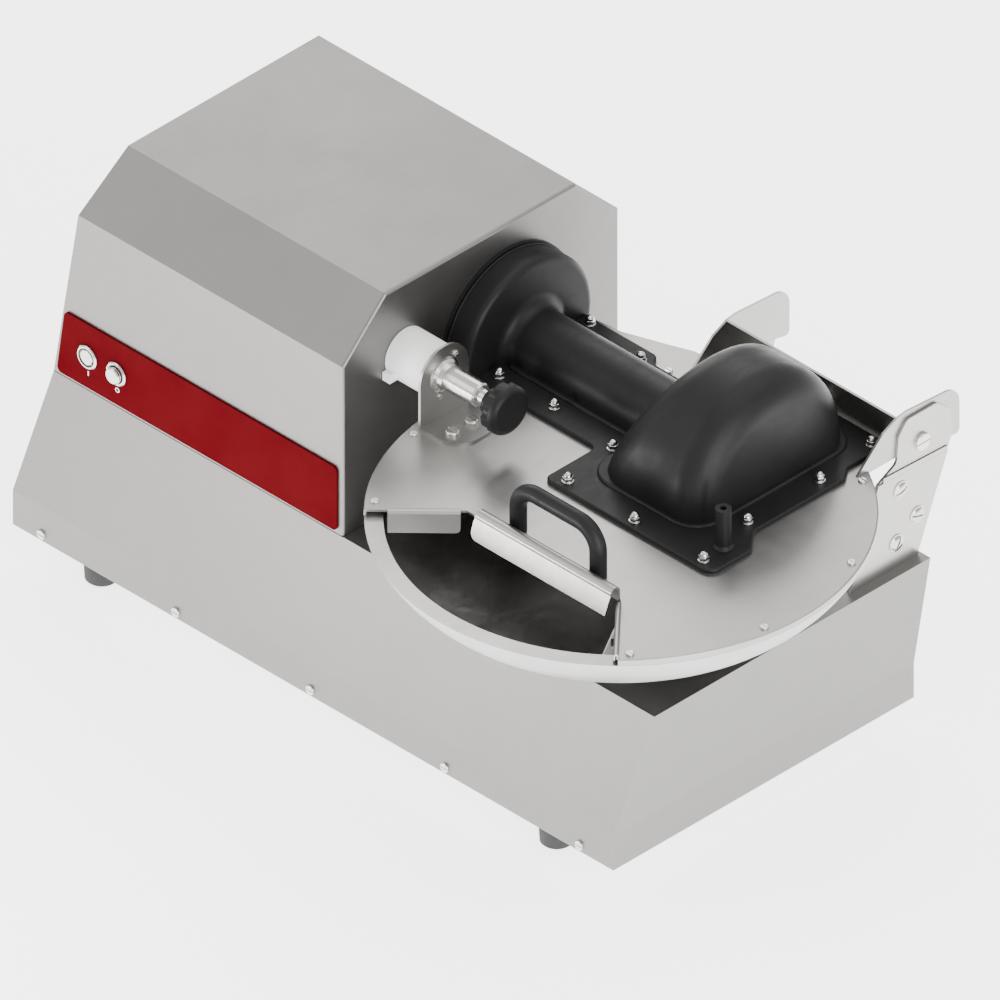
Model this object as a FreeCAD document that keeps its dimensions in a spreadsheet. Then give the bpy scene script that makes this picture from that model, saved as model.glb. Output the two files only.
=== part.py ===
"""Table-top rotating-bowl cutter: base, motor housing, turning bowl, hinged lid, knife shaft and safety lock.

Row frame in millimetres: origin on the floor under the middle of the whole machine, X along its length,
Y from the front to the back, Z up.
"""
import FreeCAD, Part
import math
import os

import Sketcher

Vector = FreeCAD.Vector
doc = FreeCAD.newDocument("rotating_bowl_cutter")
sub_parts = []


# ---------------------------------------------------------------- driving sizes

class Size:
    """A length that is known both as a number and as a rule of the sheet."""

    def __init__(self, value, rule):
        self.value = value
        self.rule = rule

    def joined(self, sign, other, value):
        return Size(value, f"({self.rule} {sign} {rule_of(other)})")

    def __add__(self, other):
        return self.joined("+", other, self.value + number(other))

    def __sub__(self, other):
        return self.joined("-", other, self.value - number(other))

    def __mul__(self, other):
        return self.joined("*", other, self.value * number(other))

    def __truediv__(self, other):
        return self.joined("/", other, self.value / number(other))

    def __neg__(self):
        return Size(-self.value, f"(0 - {self.rule})")

    def __radd__(self, other):
        return self + other

    def __rsub__(self, other):
        return -self + other

    def __rmul__(self, other):
        return self * other


def number(size):
    return size.value if isinstance(size, Size) else float(size)


def rule_of(size):
    return size.rule if isinstance(size, Size) else f"({float(size)})"


class Sizes:
    """The driving dimensions: each cell of the sheet is an attribute of the same name."""

    def __init__(self, values):
        sheet = doc.addObject("Spreadsheet::Sheet", "sizes")
        for row, (name, value) in enumerate(values.items(), start=1):
            sheet.set(f"A{row}", name)
            sheet.set(f"B{row}", str(value))
            sheet.setAlias(f"B{row}", name)
            setattr(self, name, Size(value, f"sizes.{name}"))
        doc.recompute()


d = Sizes({
    # base: a skirt, a front that slopes in, ends that both lean to the right, and the deck
    "baseLeft": -493.5, "baseRight": 355.9, "baseFront": -179.0, "baseRear": 246.0,
    "skirtBottom": 38.0, "skirtTop": 80.0, "deckTop": 220.8, "frontInset": 34.5, "endLean": 0.1673,
    "sheetMetal": 2.0, "footRadius": 17.5, "skirtScrewRise": 46.0,
    # motor housing on the left half of the deck
    "wallFace": -61.0, "shoulderRise": 428.0, "bevel": 60.5, "wallRim": 5.0, "wallRound": 3.5,
    # red panel with two push-buttons
    "panelLeft": -463.5, "panelRight": -67.5, "panelBottom": 225.5, "panelTop": 303.0, "panelDepth": 2.5,
    "startX": -418.5, "stopX": -377.5, "buttonRise": 264.5, "buttonRadius": 9.5, "bezelRadius": 13.5,
    # bowl
    "bowlX": 236.0, "bowlY": -48.0, "troughReach": 133.0, "troughRise": 405.6, "troughRadius": 138.0,
    "bowlSheet": 2.0, "rimRise": 345.0, "rimInside": 238.0, "hubRadius": 30.0, "spindleRadius": 18.0,
    # lid
    "lidTop": 352.6, "lidSheet": 2.6, "lidRadius": 257.5, "lidFlange": 7.0, "lidScrewReach": 247.0,
    "tabFront": 8.0, "tabRear": 166.0, "tabLeft": -55.0, "earLeft": 118.5, "earRight": 361.5, "earRear": 227.0,
    # hinge
    "hingeY": 248.0, "hingeZ": 355.7, "hingePin": 6.0, "supportPlate": 2.9, "supportGap": 0.3,
    "panHead": 10.0,
    # knife shaft
    "knifeY": 85.0, "knifeZ": 368.0, "knifeX": 243.0, "knifeRadius": 95.0, "knifeSheet": 3.0,
    "knifePitch": 11.0, "shaftRadius": 14.0, "sleeveRadius": 20.0, "runningGap": 0.05,
    # moulded cover over the knife shaft
    "gasket": 1.0, "coverFlange": 4.4, "coverWall": 3.0, "domeRadius": 112.0, "domeLeft": 172.0,
    "domeRight": 320.0, "domeLean": 0.466, "domeRound": 34.0, "tubeRadius": 37.0, "drumRadius": 90.0, "drumRight": -25.5,
    "coverLeft": -56.6, "spoutX": 357.0, "spoutY": -24.6, "spoutRadius": 8.4, "spoutBore": 3.5,
    "spoutTop": 405.6,
    # lock
    "lockY": -57.3, "lockZ": 405.0, "lockPin": 8.5, "lockBlock": 28.3, "lockStart": -60.4,
    "bracketFace": -7.5, "bracketSheet": 3.0, "bracketHalf": 34.0, "knobRadius": 27.0, "knobStart": 73.0,
    "knobEnd": 91.0,
    # handle
    "handleLeft": 185.5, "handleRight": 298.5, "handleY": -143.0, "handleRise": 407.5, "handleRod": 9.0,
    "handleBend": 26.0,
    # drive
    "motorY": -39.0, "motorZ": 308.0, "motorRadius": 72.0, "motorLeft": -300.0, "motorRight": -110.0,
    "motorShaft": 12.0, "pulleyLeft": -390.0, "pulleyWidth": 20.0, "beltDepth": 4.0,
    "motorPulley": 35.0, "knifePulley": 50.0, "wormPulley": 60.0,
    "wormY": 14.0, "wormZ": 138.0, "wormShaft": 11.0, "wormRadius": 16.0, "wheelTeeth": 40.0,
    "wheelRadius": 45.0, "wheelWidth": 20.0,
})

shellInside = d.baseFront + d.frontInset
crownRise = d.shoulderRise + d.bevel
lidUnder = d.lidTop - d.lidSheet
flangeTop = d.lidTop + d.gasket + d.coverFlange
earInnerRight = d.earRight - d.lidSheet
earInnerLeft = d.earLeft + d.lidSheet


# ---------------------------------------------------------------- building helpers

turns = {
    "x": FreeCAD.Rotation(Vector(0, 1, 0), 90),
    "y": FreeCAD.Rotation(Vector(1, 0, 0), -90),
    "z": FreeCAD.Rotation(),
}


def bind(thing, path, size):
    """Give a property its size, and tie it to the sheet when the size comes from there."""
    if isinstance(size, Size):
        thing.setExpression(path, size.rule)
    else:
        setattr(thing, path, float(size))


def put(thing, x, y, z, turn=FreeCAD.Rotation()):
    thing.Placement = FreeCAD.Placement(Vector(number(x), number(y), number(z)), turn)
    for letter, size in zip("xyz", (x, y, z)):
        if isinstance(size, Size):
            thing.setExpression(f"Placement.Base.{letter}", size.rule)


def spot(axis, start, centre):
    """The point at a place along an axis, with the other two coordinates given in X, Y, Z order."""
    first, second = centre
    return {"x": (start, first, second), "y": (first, start, second), "z": (first, second, start)}[axis]


def box(name, x, y, z):
    block = doc.addObject("Part::Box", name)
    for path, (low, high) in (("Length", x), ("Width", y), ("Height", z)):
        bind(block, path, high - low)
    put(block, x[0], y[0], z[0])
    return block


def rod(name, axis, radius, along, centre):
    cylinder = doc.addObject("Part::Cylinder", name)
    bind(cylinder, "Radius", radius)
    bind(cylinder, "Height", along[1] - along[0])
    put(cylinder, *spot(axis, along[0], centre), turns[axis])
    return cylinder


def fuse(name, *pieces):
    union = doc.addObject("Part::MultiFuse", name)
    union.Shapes = list(pieces)
    return union


def cut(name, base, *tools):
    result = doc.addObject("Part::Cut", name)
    result.Base = base
    result.Tool = tools[0] if len(tools) == 1 else fuse(name + "_cutters", *tools)
    return result


def common(name, *pieces):
    shared = doc.addObject("Part::MultiCommon", name)
    shared.Shapes = list(pieces)
    return shared


def ring(name, axis, outer, inner, along, centre):
    bore = rod(name + "_bore", axis, inner, (along[0] - 1, along[1] + 1), centre)
    return cut(name, rod(name + "_blank", axis, outer, along, centre), bore)


def origin_plane(body, role):
    return next(plane for plane in body.Origin.OriginFeatures if plane.Role == role)


def sketch_on(body, role, name, offset=0.0):
    sketch = body.newObject("Sketcher::SketchObject", name)
    sketch.AttachmentSupport = [(origin_plane(body, role), "")]
    sketch.MapMode = "FlatFace"
    sketch.AttachmentOffset = FreeCAD.Placement(Vector(0, 0, number(offset)), FreeCAD.Rotation())
    if isinstance(offset, Size):
        sketch.setExpression("AttachmentOffset.Base.z", offset.rule)
    return sketch


def draw_loop(sketch, corners):
    """A closed loop of straight lines, each corner tied to the sheet."""
    points = [Vector(number(u), number(v), 0) for u, v in corners]
    for index, point in enumerate(points):
        sketch.addGeometry(Part.LineSegment(point, points[(index + 1) % len(points)]))
    for index, (u, v) in enumerate(corners):
        sketch.addConstraint(Sketcher.Constraint("Coincident", index, 2, (index + 1) % len(corners), 1))
        for kind, size in (("DistanceX", u), ("DistanceY", v)):
            at = sketch.addConstraint(Sketcher.Constraint(kind, -1, 1, index, 1, number(size)))
            if isinstance(size, Size):
                sketch.setExpression(f"Constraints[{at}]", size.rule)


def draw_circle(sketch, radius, u=0.0, v=0.0):
    circle = Part.Circle(Vector(number(u), number(v), 0), Vector(0, 0, 1), number(radius))
    at = sketch.addGeometry(circle)
    for kind, size in (("DistanceX", u), ("DistanceY", v)):
        sketch.addConstraint(Sketcher.Constraint(kind, -1, 1, at, 3, number(size)))
    wide = sketch.addConstraint(Sketcher.Constraint("Radius", at, number(radius)))
    if isinstance(radius, Size):
        sketch.setExpression(f"Constraints[{wide}]", radius.rule)


def prism(name, axis, corners, along, rounding=0.0, rounded=None):
    """A plate: an outline across one axis, padded between two limits, with rounded corners if asked for."""
    body = doc.addObject("PartDesign::Body", name)
    role = {"x": "YZ_Plane", "y": "XZ_Plane", "z": "XY_Plane"}[axis]
    offset = -along[1] if axis == "y" else along[0]
    sketch = sketch_on(body, role, name + "_outline", offset)
    draw_loop(sketch, corners)
    pad = body.newObject("PartDesign::Pad", name + "_pad")
    pad.Profile = sketch
    bind(pad, "Length", along[1] - along[0])
    if rounding:
        doc.recompute()
        direction = {"x": Vector(1, 0, 0), "y": Vector(0, 1, 0), "z": Vector(0, 0, 1)}[axis]
        names = []
        for index, edge in enumerate(pad.Shape.Edges, start=1):
            straight = edge.tangentAt(edge.FirstParameter)
            middle = edge.CenterOfMass
            if abs(straight.dot(direction)) > 0.99 and (rounded is None or rounded(middle)):
                names.append(f"Edge{index}")
        fillet = body.newObject("PartDesign::Fillet", name + "_corners")
        fillet.Base = (pad, names)
        fillet.Radius = rounding
    return body


def turned(name, axis, profile, centre, angle=360):
    """A turned piece: a profile of (place along the axis, radius) corners, revolved about that axis."""
    body = doc.addObject("PartDesign::Body", name)
    role = "XY_Plane" if axis == "y" else "XZ_Plane"
    sketch = sketch_on(body, role, name + "_profile")
    draw_loop(sketch, profile if axis == "x" else [(radius, place) for place, radius in profile])
    spin = body.newObject("PartDesign::Revolution", name + "_spin")
    spin.Profile = sketch
    spin.ReferenceAxis = (sketch, ["H_Axis" if axis == "x" else "V_Axis"])
    spin.Angle = angle
    put(body, *spot(axis, 0, centre))
    return body


def shaped(name, shape):
    feature = doc.addObject("Part::Feature", name)
    feature.Shape = shape
    feature.Placement = FreeCAD.Placement()
    return feature


def softened(name, base, radius, chosen):
    """Round the chosen edges of a shape."""
    doc.recompute()
    fillet = doc.addObject("Part::Fillet", name)
    fillet.Base = base
    edges = enumerate(base.Shape.Edges, start=1)
    fillet.Edges = [(index, radius, radius) for index, edge in edges if chosen(edge)]
    return fillet


def piece(node, thing):
    """Register a finished sub-part: its label names its file."""
    thing.Label = node
    sub_parts.append(thing)
    return thing


def slotted_heads(name, axis, radius, faces, spots, height):
    """A group of equal slotted screw heads: faces holds (face, outward sign) for each spot."""
    heads = []
    for index, ((face, sign), centre) in enumerate(zip(faces, spots)):
        low = face if sign > 0 else face - height
        head = rod(f"{name}_{index}", axis, radius, (low, low + height), centre)
        rim = softened(f"{name}_{index}_rim", head, number(height) * 0.45,
                       lambda edge, at=number(face): edge_beyond(edge, axis, at, 0.3))
        slot_low = low + height * 0.6 if sign > 0 else low - 1
        across = {axis: (slot_low, slot_low + height * 0.4 + 1)}
        first, second = [letter for letter in "xyz" if letter != axis]
        across[first] = (centre[0] - radius - 1, centre[0] + radius + 1)
        across[second] = (centre[1] - 0.9, centre[1] + 0.9)
        slot = box(f"{name}_{index}_slot", across["x"], across["y"], across["z"])
        heads.append(cut(f"{name}_{index}_cut", rim, slot))
    return fuse(name, *heads)


def edge_beyond(edge, axis, face, margin):
    """True for an edge that lies wholly away from a face."""
    place = {"x": edge.CenterOfMass.x, "y": edge.CenterOfMass.y, "z": edge.CenterOfMass.z}[axis]
    low = {"x": edge.BoundBox.XLength, "y": edge.BoundBox.YLength, "z": edge.BoundBox.ZLength}[axis]
    return low < 0.01 and abs(place - face) > margin


# ---------------------------------------------------------------- base

def base_block(name, inset, bottom):
    """The solid outline of the base, drawn in from its outside by a sheet's thickness."""
    lean = (d.deckTop - d.skirtTop) * d.endLean
    left, right = d.baseLeft + inset, d.baseRight - inset
    top = d.deckTop - inset
    ends = [(left, bottom), (right, bottom), (right, d.skirtTop), (right + lean, top),
            (left + lean, top), (left, d.skirtTop)]
    block = prism(name + "_block", "y", ends, (d.baseFront + inset, d.baseRear - inset))
    front = d.baseFront + inset
    wedge = [(front - 5, d.skirtTop), (front, d.skirtTop), (front + d.frontInset, d.deckTop),
             (front + d.frontInset, d.deckTop + 5), (front - 5, d.deckTop + 5)]
    slope = prism(name + "_slope", "x", wedge, (d.baseLeft - 10, d.baseRight + 60))
    return cut(name, block, slope)


def base_shell():
    outside = base_block("base_outside", 0.0, d.skirtBottom)
    inside = base_block("base_inside", d.sheetMetal, d.skirtBottom - 5)
    deck = (d.deckTop - 8, d.deckTop + 5)
    spindle_hole = rod("deck_hole", "z", 38, deck, (d.bowlX, d.bowlY))
    belt_slot = box("belt_slot", (-376, -342), (-95, 90), deck)
    return piece("base_shell", cut("base_shell", outside, inside, spindle_hole, belt_slot))


def bottom_plate():
    metal = d.sheetMetal
    return piece("bottom_plate", box("bottom_plate", (d.baseLeft + metal, d.baseRight - metal),
                 (d.baseFront + metal, d.baseRear - metal), (d.skirtBottom, d.skirtBottom + metal)))


def rubber_feet():
    feet = []
    profile = [(0, 0), (0, d.footRadius - 2), (2, d.footRadius), (d.skirtBottom, d.footRadius + 2),
               (d.skirtBottom, 0)]
    for x in (-402.5, 241):
        for y in (-144, 211):
            feet.append(turned(f"foot_{len(feet)}", "z", profile, (x, y)))
    return piece("rubber_feet", fuse("rubber_feet", *feet))


def skirt_screws():
    spots = [(-452.5 + 190.25 * index, d.skirtScrewRise) for index in range(5)]
    heads = slotted_heads("skirt_screws", "y", 5.5, [(d.baseFront, -1)] * 5, spots, 2.6)
    return piece("skirt_screws", heads)


# ---------------------------------------------------------------- motor housing

def housing_outline(inset, bottom):
    """The housing seen from its end: upright sides, two bevels and a flat crown."""
    front, rear = shellInside + inset, d.baseRear - inset
    corner = inset * (math.sqrt(2) - 1)
    return [(front, bottom), (front, d.shoulderRise - corner), (front + d.bevel - inset + corner, crownRise - inset),
            (rear - d.bevel + inset - corner, crownRise - inset), (rear, d.shoulderRise - corner), (rear, bottom)]


def lean_x(rise):
    """Where the leaning left end of the machine stands at a height."""
    return d.baseLeft + (rise - d.skirtTop) * d.endLean


def lean_slab(name, first, last, low=200.0, high=500.0):
    """A slab that leans with the left end, between two distances from it."""
    corners = [(lean_x(low) + first, low), (lean_x(low) + last, low),
               (lean_x(high) + last, high), (lean_x(high) + first, high)]
    return prism(name, "y", corners, (-200, 300))


def housing():
    metal = d.sheetMetal
    wrap_end = d.wallFace - d.wallRim
    outside = prism("wrap_outside", "x", housing_outline(0.0, d.deckTop), (-480, wrap_end))
    inside = prism("wrap_inside", "x", housing_outline(metal, d.deckTop - 5), (-490, wrap_end + 5))
    trimmed = cut("wrap_trimmed", outside, lean_slab("wrap_end", -120, metal))
    holes = [rod(f"wrap_hole_{index}", "y", 11.1, (-150, -135), (x, d.buttonRise))
             for index, x in enumerate((d.startX, d.stopX))]
    cable = rod("wrap_cable_hole", "y", 9.0, (d.baseRear - 10, d.baseRear + 5), (-300, 262))
    piece("housing_wrap", cut("housing_wrap", trimmed, inside, cable, *holes))

    blank = prism("end_blank", "x", housing_outline(0.0, d.deckTop), (-480, -400))
    piece("housing_left_panel", common("housing_left_panel", blank, lean_slab("end_slab", 0.0, metal)))

    wall = prism("wall_blank", "x", housing_outline(0.0, d.deckTop), (wrap_end, d.wallFace))
    low = number(d.deckTop) + 0.5
    face = number(d.wallFace)
    rolled = softened("wall_rolled", wall, number(d.wallRound),
                      lambda edge: edge.BoundBox.XMin > face - 0.1 and edge.BoundBox.ZMax > low)
    hollow = prism("wall_hollow", "x", housing_outline(metal, d.deckTop - 5), (wrap_end - 5, d.wallFace - 2.5))
    shaft_hole = rod("wall_hole", "x", 34, (d.wallFace - 10, d.wallFace + 5), (d.knifeY, d.knifeZ))
    piece("housing_right_wall", cut("housing_right_wall", rolled, hollow, shaft_hole))


def control_panel():
    face = shellInside
    corners = [(d.panelLeft, d.panelBottom), (d.panelRight, d.panelBottom), (d.panelRight, d.panelTop),
               (d.panelLeft + 11, d.panelTop)]
    plate = prism("panel_plate", "y", corners, (face - d.panelDepth, face), rounding=6.0)
    holes = [rod(f"panel_hole_{index}", "y", 11.1, (face - 10, face + 5), (x, d.buttonRise))
             for index, x in enumerate((d.startX, d.stopX))]
    piece("control_panel", cut("control_panel", plate, *holes))


def push_button(name, x, stand):
    """A panel push-button: a fixed bezel with its barrel and nut, and a plunger that stands proud or flush."""
    face = shellInside - d.panelDepth
    bore = d.buttonRadius + 0.1
    profile = [(face - 3.5, bore), (face - 3.5, d.bezelRadius - 1.2), (face - 2.3, d.bezelRadius),
               (face, d.bezelRadius), (face, 11.0), (shellInside + d.sheetMetal, 11.0),
               (shellInside + d.sheetMetal, 15.0), (shellInside + 7, 15.0), (shellInside + 7, 11.0),
               (shellInside + 22, 11.0), (shellInside + 22, bore)]
    piece(f"{name}_bezel", turned(f"{name}_bezel", "y", profile, (x, d.buttonRise)))
    front = face - stand
    plunger = [(front, 0), (front, d.buttonRadius - 1.5), (front + 1.5, d.buttonRadius),
               (shellInside + 20, d.buttonRadius), (shellInside + 20, 0)]
    piece(name, turned(name, "y", plunger, (x, d.buttonRise)))


def panel_fittings():
    push_button("on_button", d.startX, 3.2)
    push_button("off_button", d.stopX, 8.5)
    contacts = [box(f"contact_{index}", (x - 11, x + 11), (shellInside + 24, shellInside + 48),
                    (d.buttonRise - 16, d.buttonRise + 16)) for index, x in enumerate((d.startX, d.stopX))]
    piece("switch_blocks", fuse("switch_blocks", *contacts))
    gland = [(d.baseRear - 12, 5), (d.baseRear - 12, 8.9), (d.baseRear, 8.9), (d.baseRear, 13),
             (d.baseRear + 6, 13), (d.baseRear + 7, 11), (d.baseRear + 16, 10), (d.baseRear + 18, 7),
             (d.baseRear + 18, 5)]
    piece("cable_gland", turned("cable_gland", "y", gland, (-300, 262)))
    piece("control_box", box("control_box", (-330, -120), (145, 226), (d.deckTop, 390)))


# ---------------------------------------------------------------- bowl

def bowl():
    """A ring-shaped trough spun from sheet, with a flat rim turned inwards."""
    reach, rise = number(d.troughReach), number(d.troughRise)
    outer = number(d.troughRadius)
    inner = outer - number(d.bowlSheet)
    rim, hub = number(d.rimRise), number(d.hubRadius)
    under = rim - number(d.bowlSheet)

    def at_hub(radius):
        return Vector(hub, rise - math.sqrt(radius ** 2 - (reach - hub) ** 2), 0)

    def at_rise(radius, level):
        return Vector(reach + math.sqrt(radius ** 2 - (rise - level) ** 2), level, 0)

    def trough(radius, start, end):
        return Part.Arc(start, Vector(reach, rise - radius, 0), end)

    lip = number(d.rimInside)
    loop = [trough(outer, at_hub(outer), at_rise(outer, rim)),
            Part.LineSegment(at_rise(outer, rim), Vector(lip, rim, 0)),
            Part.LineSegment(Vector(lip, rim, 0), Vector(lip, under, 0)),
            Part.LineSegment(Vector(lip, under, 0), at_rise(inner, under)),
            trough(inner, at_rise(inner, under), at_hub(inner)),
            Part.LineSegment(at_hub(inner), at_hub(outer))]
    body = doc.addObject("PartDesign::Body", "bowl")
    sketch = sketch_on(body, "XZ_Plane", "bowl_profile")
    for curve in loop:
        sketch.addGeometry(curve)
    spin = body.newObject("PartDesign::Revolution", "bowl_spin")
    spin.Profile = sketch
    spin.ReferenceAxis = (sketch, ["V_Axis"])
    put(body, d.bowlX, d.bowlY, 0)
    piece("bowl", body)


def bowl_drive():
    centre = (d.bowlX, d.bowlY)
    spindle = [(104, 0), (104, d.spindleRadius), (300, d.spindleRadius), (300, 0)]
    piece("bowl_spindle", turned("bowl_spindle", "z", spindle, centre))
    hub = [(252, d.spindleRadius), (252, 26), (290, d.hubRadius), (322, d.hubRadius), (327, 24),
           (327, 0), (300, 0), (300, d.spindleRadius)]
    piece("bowl_hub", turned("bowl_hub", "z", hub, centre))
    knob = [(327, 0), (327, 17), (331, 21), (338, 21), (342, 16), (342, 0)]
    piece("bowl_knob", turned("bowl_knob", "z", knob, centre))
    collar = [(d.deckTop, 32), (d.deckTop, 55), (226, 55), (228, 40), (244, 38), (244, 30), (225, 30), (225, 32)]
    piece("spindle_collar", turned("spindle_collar", "z", collar, centre))
    clear = d.spindleRadius + d.runningGap
    upper = [(228, clear), (228, 30), (240, 30), (240, clear)]
    lower = [(110, clear), (110, 28), (118, 28), (118, clear)]
    piece("spindle_bearings", fuse("spindle_bearings", turned("upper_bearing", "z", upper, centre),
                                   turned("lower_bearing", "z", lower, centre)))


def worm_wheel():
    """A wheel on the bowl's spindle with straight tooth gaps."""
    body = doc.addObject("PartDesign::Body", "worm_wheel")
    blank = sketch_on(body, "XY_Plane", "wheel_blank")
    draw_circle(blank, d.wheelRadius)
    draw_circle(blank, d.spindleRadius)
    pad = body.newObject("PartDesign::Pad", "wheel_pad")
    pad.Profile = blank
    bind(pad, "Length", d.wheelWidth)
    gap = sketch_on(body, "XY_Plane", "tooth_gap")
    draw_loop(gap, [(d.wheelRadius - 4.5, -1.2), (d.wheelRadius + 1, -2.4), (d.wheelRadius + 1, 2.4),
                    (d.wheelRadius - 4.5, 1.2)])
    pocket = body.newObject("PartDesign::Pocket", "gap_pocket")
    pocket.Profile = gap
    pocket.Type = 1
    pocket.Reversed = True
    pattern = body.newObject("PartDesign::PolarPattern", "gap_pattern")
    pattern.Originals = [pocket]
    pattern.Axis = (blank, ["N_Axis"])
    pattern.Occurrences = int(number(d.wheelTeeth))
    body.Tip = pattern
    put(body, d.bowlX, d.bowlY, d.wormZ - d.wheelWidth / 2)
    piece("worm_wheel", body)


# ---------------------------------------------------------------- lid

def feed_edge():
    """The three straight edges of the feed opening, in plan, from its left end to its right end."""
    return [Vector(52.4, -227.0, 0), Vector(125.7, -156, 0), Vector(343.8, -156, 0), Vector(418, -234.7, 0)]


def cover_openings(low, high, grow=0.0):
    """The T-shaped way through the lid that lets it lift off the knives and the shaft."""
    blades = box("knife_way", (178 - grow, 314 + grow), (-20 - grow, 190 + grow), (low, high))
    shaft = box("shaft_way", (d.tabLeft - 5, 190), (51 - grow, 119 + grow), (low, high))
    boss = box("boss_way", (d.tabLeft - 5, -28), (22, 148), (low, high))
    return blades, shaft, boss


def lip_profile(rise, radius, drop, lean):
    """Section of a rolled lip in the (across, up) plane: a riser, a half-round roll and a hanging flap."""
    metal, overlap = 2.0, 0.6
    shoulder = rise - radius
    middle = overlap - radius

    def roll(size):
        return Part.Arc(Vector(middle + size, shoulder, 0), Vector(middle, shoulder + size, 0),
                        Vector(middle - size, shoulder, 0))

    outer, inner = roll(radius), roll(radius - metal)
    foot = [Vector(overlap, -2.0, 0), Vector(overlap - metal, -2.0, 0)]
    hem = [Vector(middle - radius - lean, -drop, 0), Vector(middle - radius - lean + metal, -drop, 0)]
    corners = [Part.LineSegment(foot[0], outer.StartPoint), outer, Part.LineSegment(outer.EndPoint, hem[0]),
               Part.LineSegment(hem[0], hem[1]), Part.LineSegment(hem[1], inner.EndPoint), inner,
               Part.LineSegment(inner.StartPoint, foot[1]), Part.LineSegment(foot[1], foot[0])]
    return Part.Face(Part.Wire([curve.toShape() for curve in corners]))


def lip_along(start, end, face):
    """Sweep a lip section along one straight edge of the feed opening; the lid lies on its left."""
    run = end - start
    along = Vector(run).normalize()
    outward = Vector(-along.y, along.x, 0)
    matrix = FreeCAD.Matrix(outward.x, 0, along.x, start.x, outward.y, 0, along.y, start.y,
                            0, 1, 0, number(d.lidTop), 0, 0, 0, 1)
    section = face.copy()
    section.Placement = FreeCAD.Placement(matrix)
    return section.extrude(run)


def round_hem(lip, end, inward, radius):
    """Round the lower corner of a lip's flap at one end; inward points along the lip from that end."""
    block = Part.makeBox(radius + 1, 120, radius + 1, Vector(-1, -60, -1))
    cutter = block.cut(Part.makeCylinder(radius, 120, Vector(radius, -60, radius), Vector(0, 1, 0)))
    cutter.Placement = FreeCAD.Placement(Vector(end.x, end.y, lip.BoundBox.ZMin),
                                         FreeCAD.Rotation(Vector(1, 0, 0), inward))
    return lip.cut(cutter)


def lid_sheet():
    top, under = d.lidTop, lidUnder
    centre = (d.bowlX, d.bowlY)
    disc = rod("lid_disc", "z", d.lidRadius, (under, top), centre)
    rounded_disc = softened("lid_disc_round", disc, 1.6, lambda edge: edge.CenterOfMass.z > number(top) - 0.1)
    flange = ring("lid_flange", "z", d.lidRadius, d.lidRadius - d.lidSheet, (top - d.lidFlange, under + 0.5), centre)
    tab_corners = [(d.tabLeft, d.tabFront), (150, d.tabFront), (150, 219), (d.earLeft, 219), (d.earLeft, 204),
                   (91.4, 200), (66, 190.4), (15.5, 172.5), (-50, d.tabRear), (d.tabLeft, d.tabRear)]
    shaft_tab = prism("lid_shaft_tab", "z", tab_corners, (under, top))
    hinge_tab = box("lid_hinge_tab", (d.earLeft, d.earRight), (100, d.earRear), (under, top))
    ears = [prism(f"lid_ear_{index}", "x", ear_outline(), (low, low + d.lidSheet), rounding=5.0,
                  rounded=lambda middle: middle.y > 190 and middle.z > 334)
            for index, low in enumerate((d.earLeft, earInnerRight))]
    web = prism("lid_web", "x", [(d.earRear - 2.6, under), (d.earRear, under), (218, 397), (215.6, 396.4)],
                (d.earLeft, d.earRight))
    whole = fuse("lid_whole", rounded_disc, flange, shaft_tab, hinge_tab, web, *ears)

    left_far, left_near, right_near, right_far = feed_edge()
    beyond = [right_near + (right_far - right_near) * 1.5, Vector(457, -340, 0), Vector(11, -340, 0),
              left_near + (left_far - left_near) * 1.5]
    opening = prism("feed_opening", "z", [(point.x, point.y) for point in [left_near, right_near] + beyond],
                    (300, 380))
    knives, shaft, boss = cover_openings(under - 20, top + 5)
    pins = rod("ear_holes", "x", d.hingePin + d.runningGap, (100, 380), (d.hingeY, d.hingeZ))
    opened = cut("lid_opened", whole, opening, knives, shaft, boss, pins)
    lips = shaped("feed_lips", feed_lips())
    piece("lid_sheet", fuse("lid_sheet", opened, lips))


def ear_outline():
    """Side view of one hinge ear, in (y, z): up from the lid, over the pivot and down to a rear hook."""
    rear, radius, middle = 304.98, 20.0, 375.0
    turns = [math.radians(turn) for turn in range(80, -1, -16)]
    hook = [(rear - radius + radius * math.cos(turn), middle + radius * math.sin(turn)) for turn in turns]
    return [(160, lidUnder), (160, d.lidTop), (197, 387), (218, 397), (231, 398.6), *hook, (rear, 341),
            (302, 336), (293, 338), (280, 341), (235, 341), (d.earRear, lidUnder)]


def feed_lips():
    left_far, left_near, right_near, right_far = feed_edge()
    start, end = Vector(150, left_near.y, 0), Vector(342, left_near.y, 0)
    front = round_hem(lip_along(start, end, lip_profile(16.7, 7.0, 10.6, 8.0)), start, end - start, 9.0)
    side = left_near - left_far
    start, end = left_far + side * 0.224, left_near - side * 0.06
    left = round_hem(lip_along(start, end, lip_profile(4.0, 4.5, 20.0, 3.0)), end, start - end, 5.0)
    side = right_far - right_near
    start, end = right_near + side * 0.1, right_far - side * 0.06
    right = round_hem(lip_along(start, end, lip_profile(4.6, 2.7, 6.0, 0.6)), end, start - end, 4.0)
    return front.fuse([left, right])


def cover_outline():
    return [(-25, 7.8), (144.5, 7.8), (144.5, -66.5), (381, -66.5), (381, -8), (359, 17), (359, 146), (347, 162),
            (347, 219), (150, 219), (150, 151), (84, 151), (75, 163.8), (-25, 163.8)]


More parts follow.
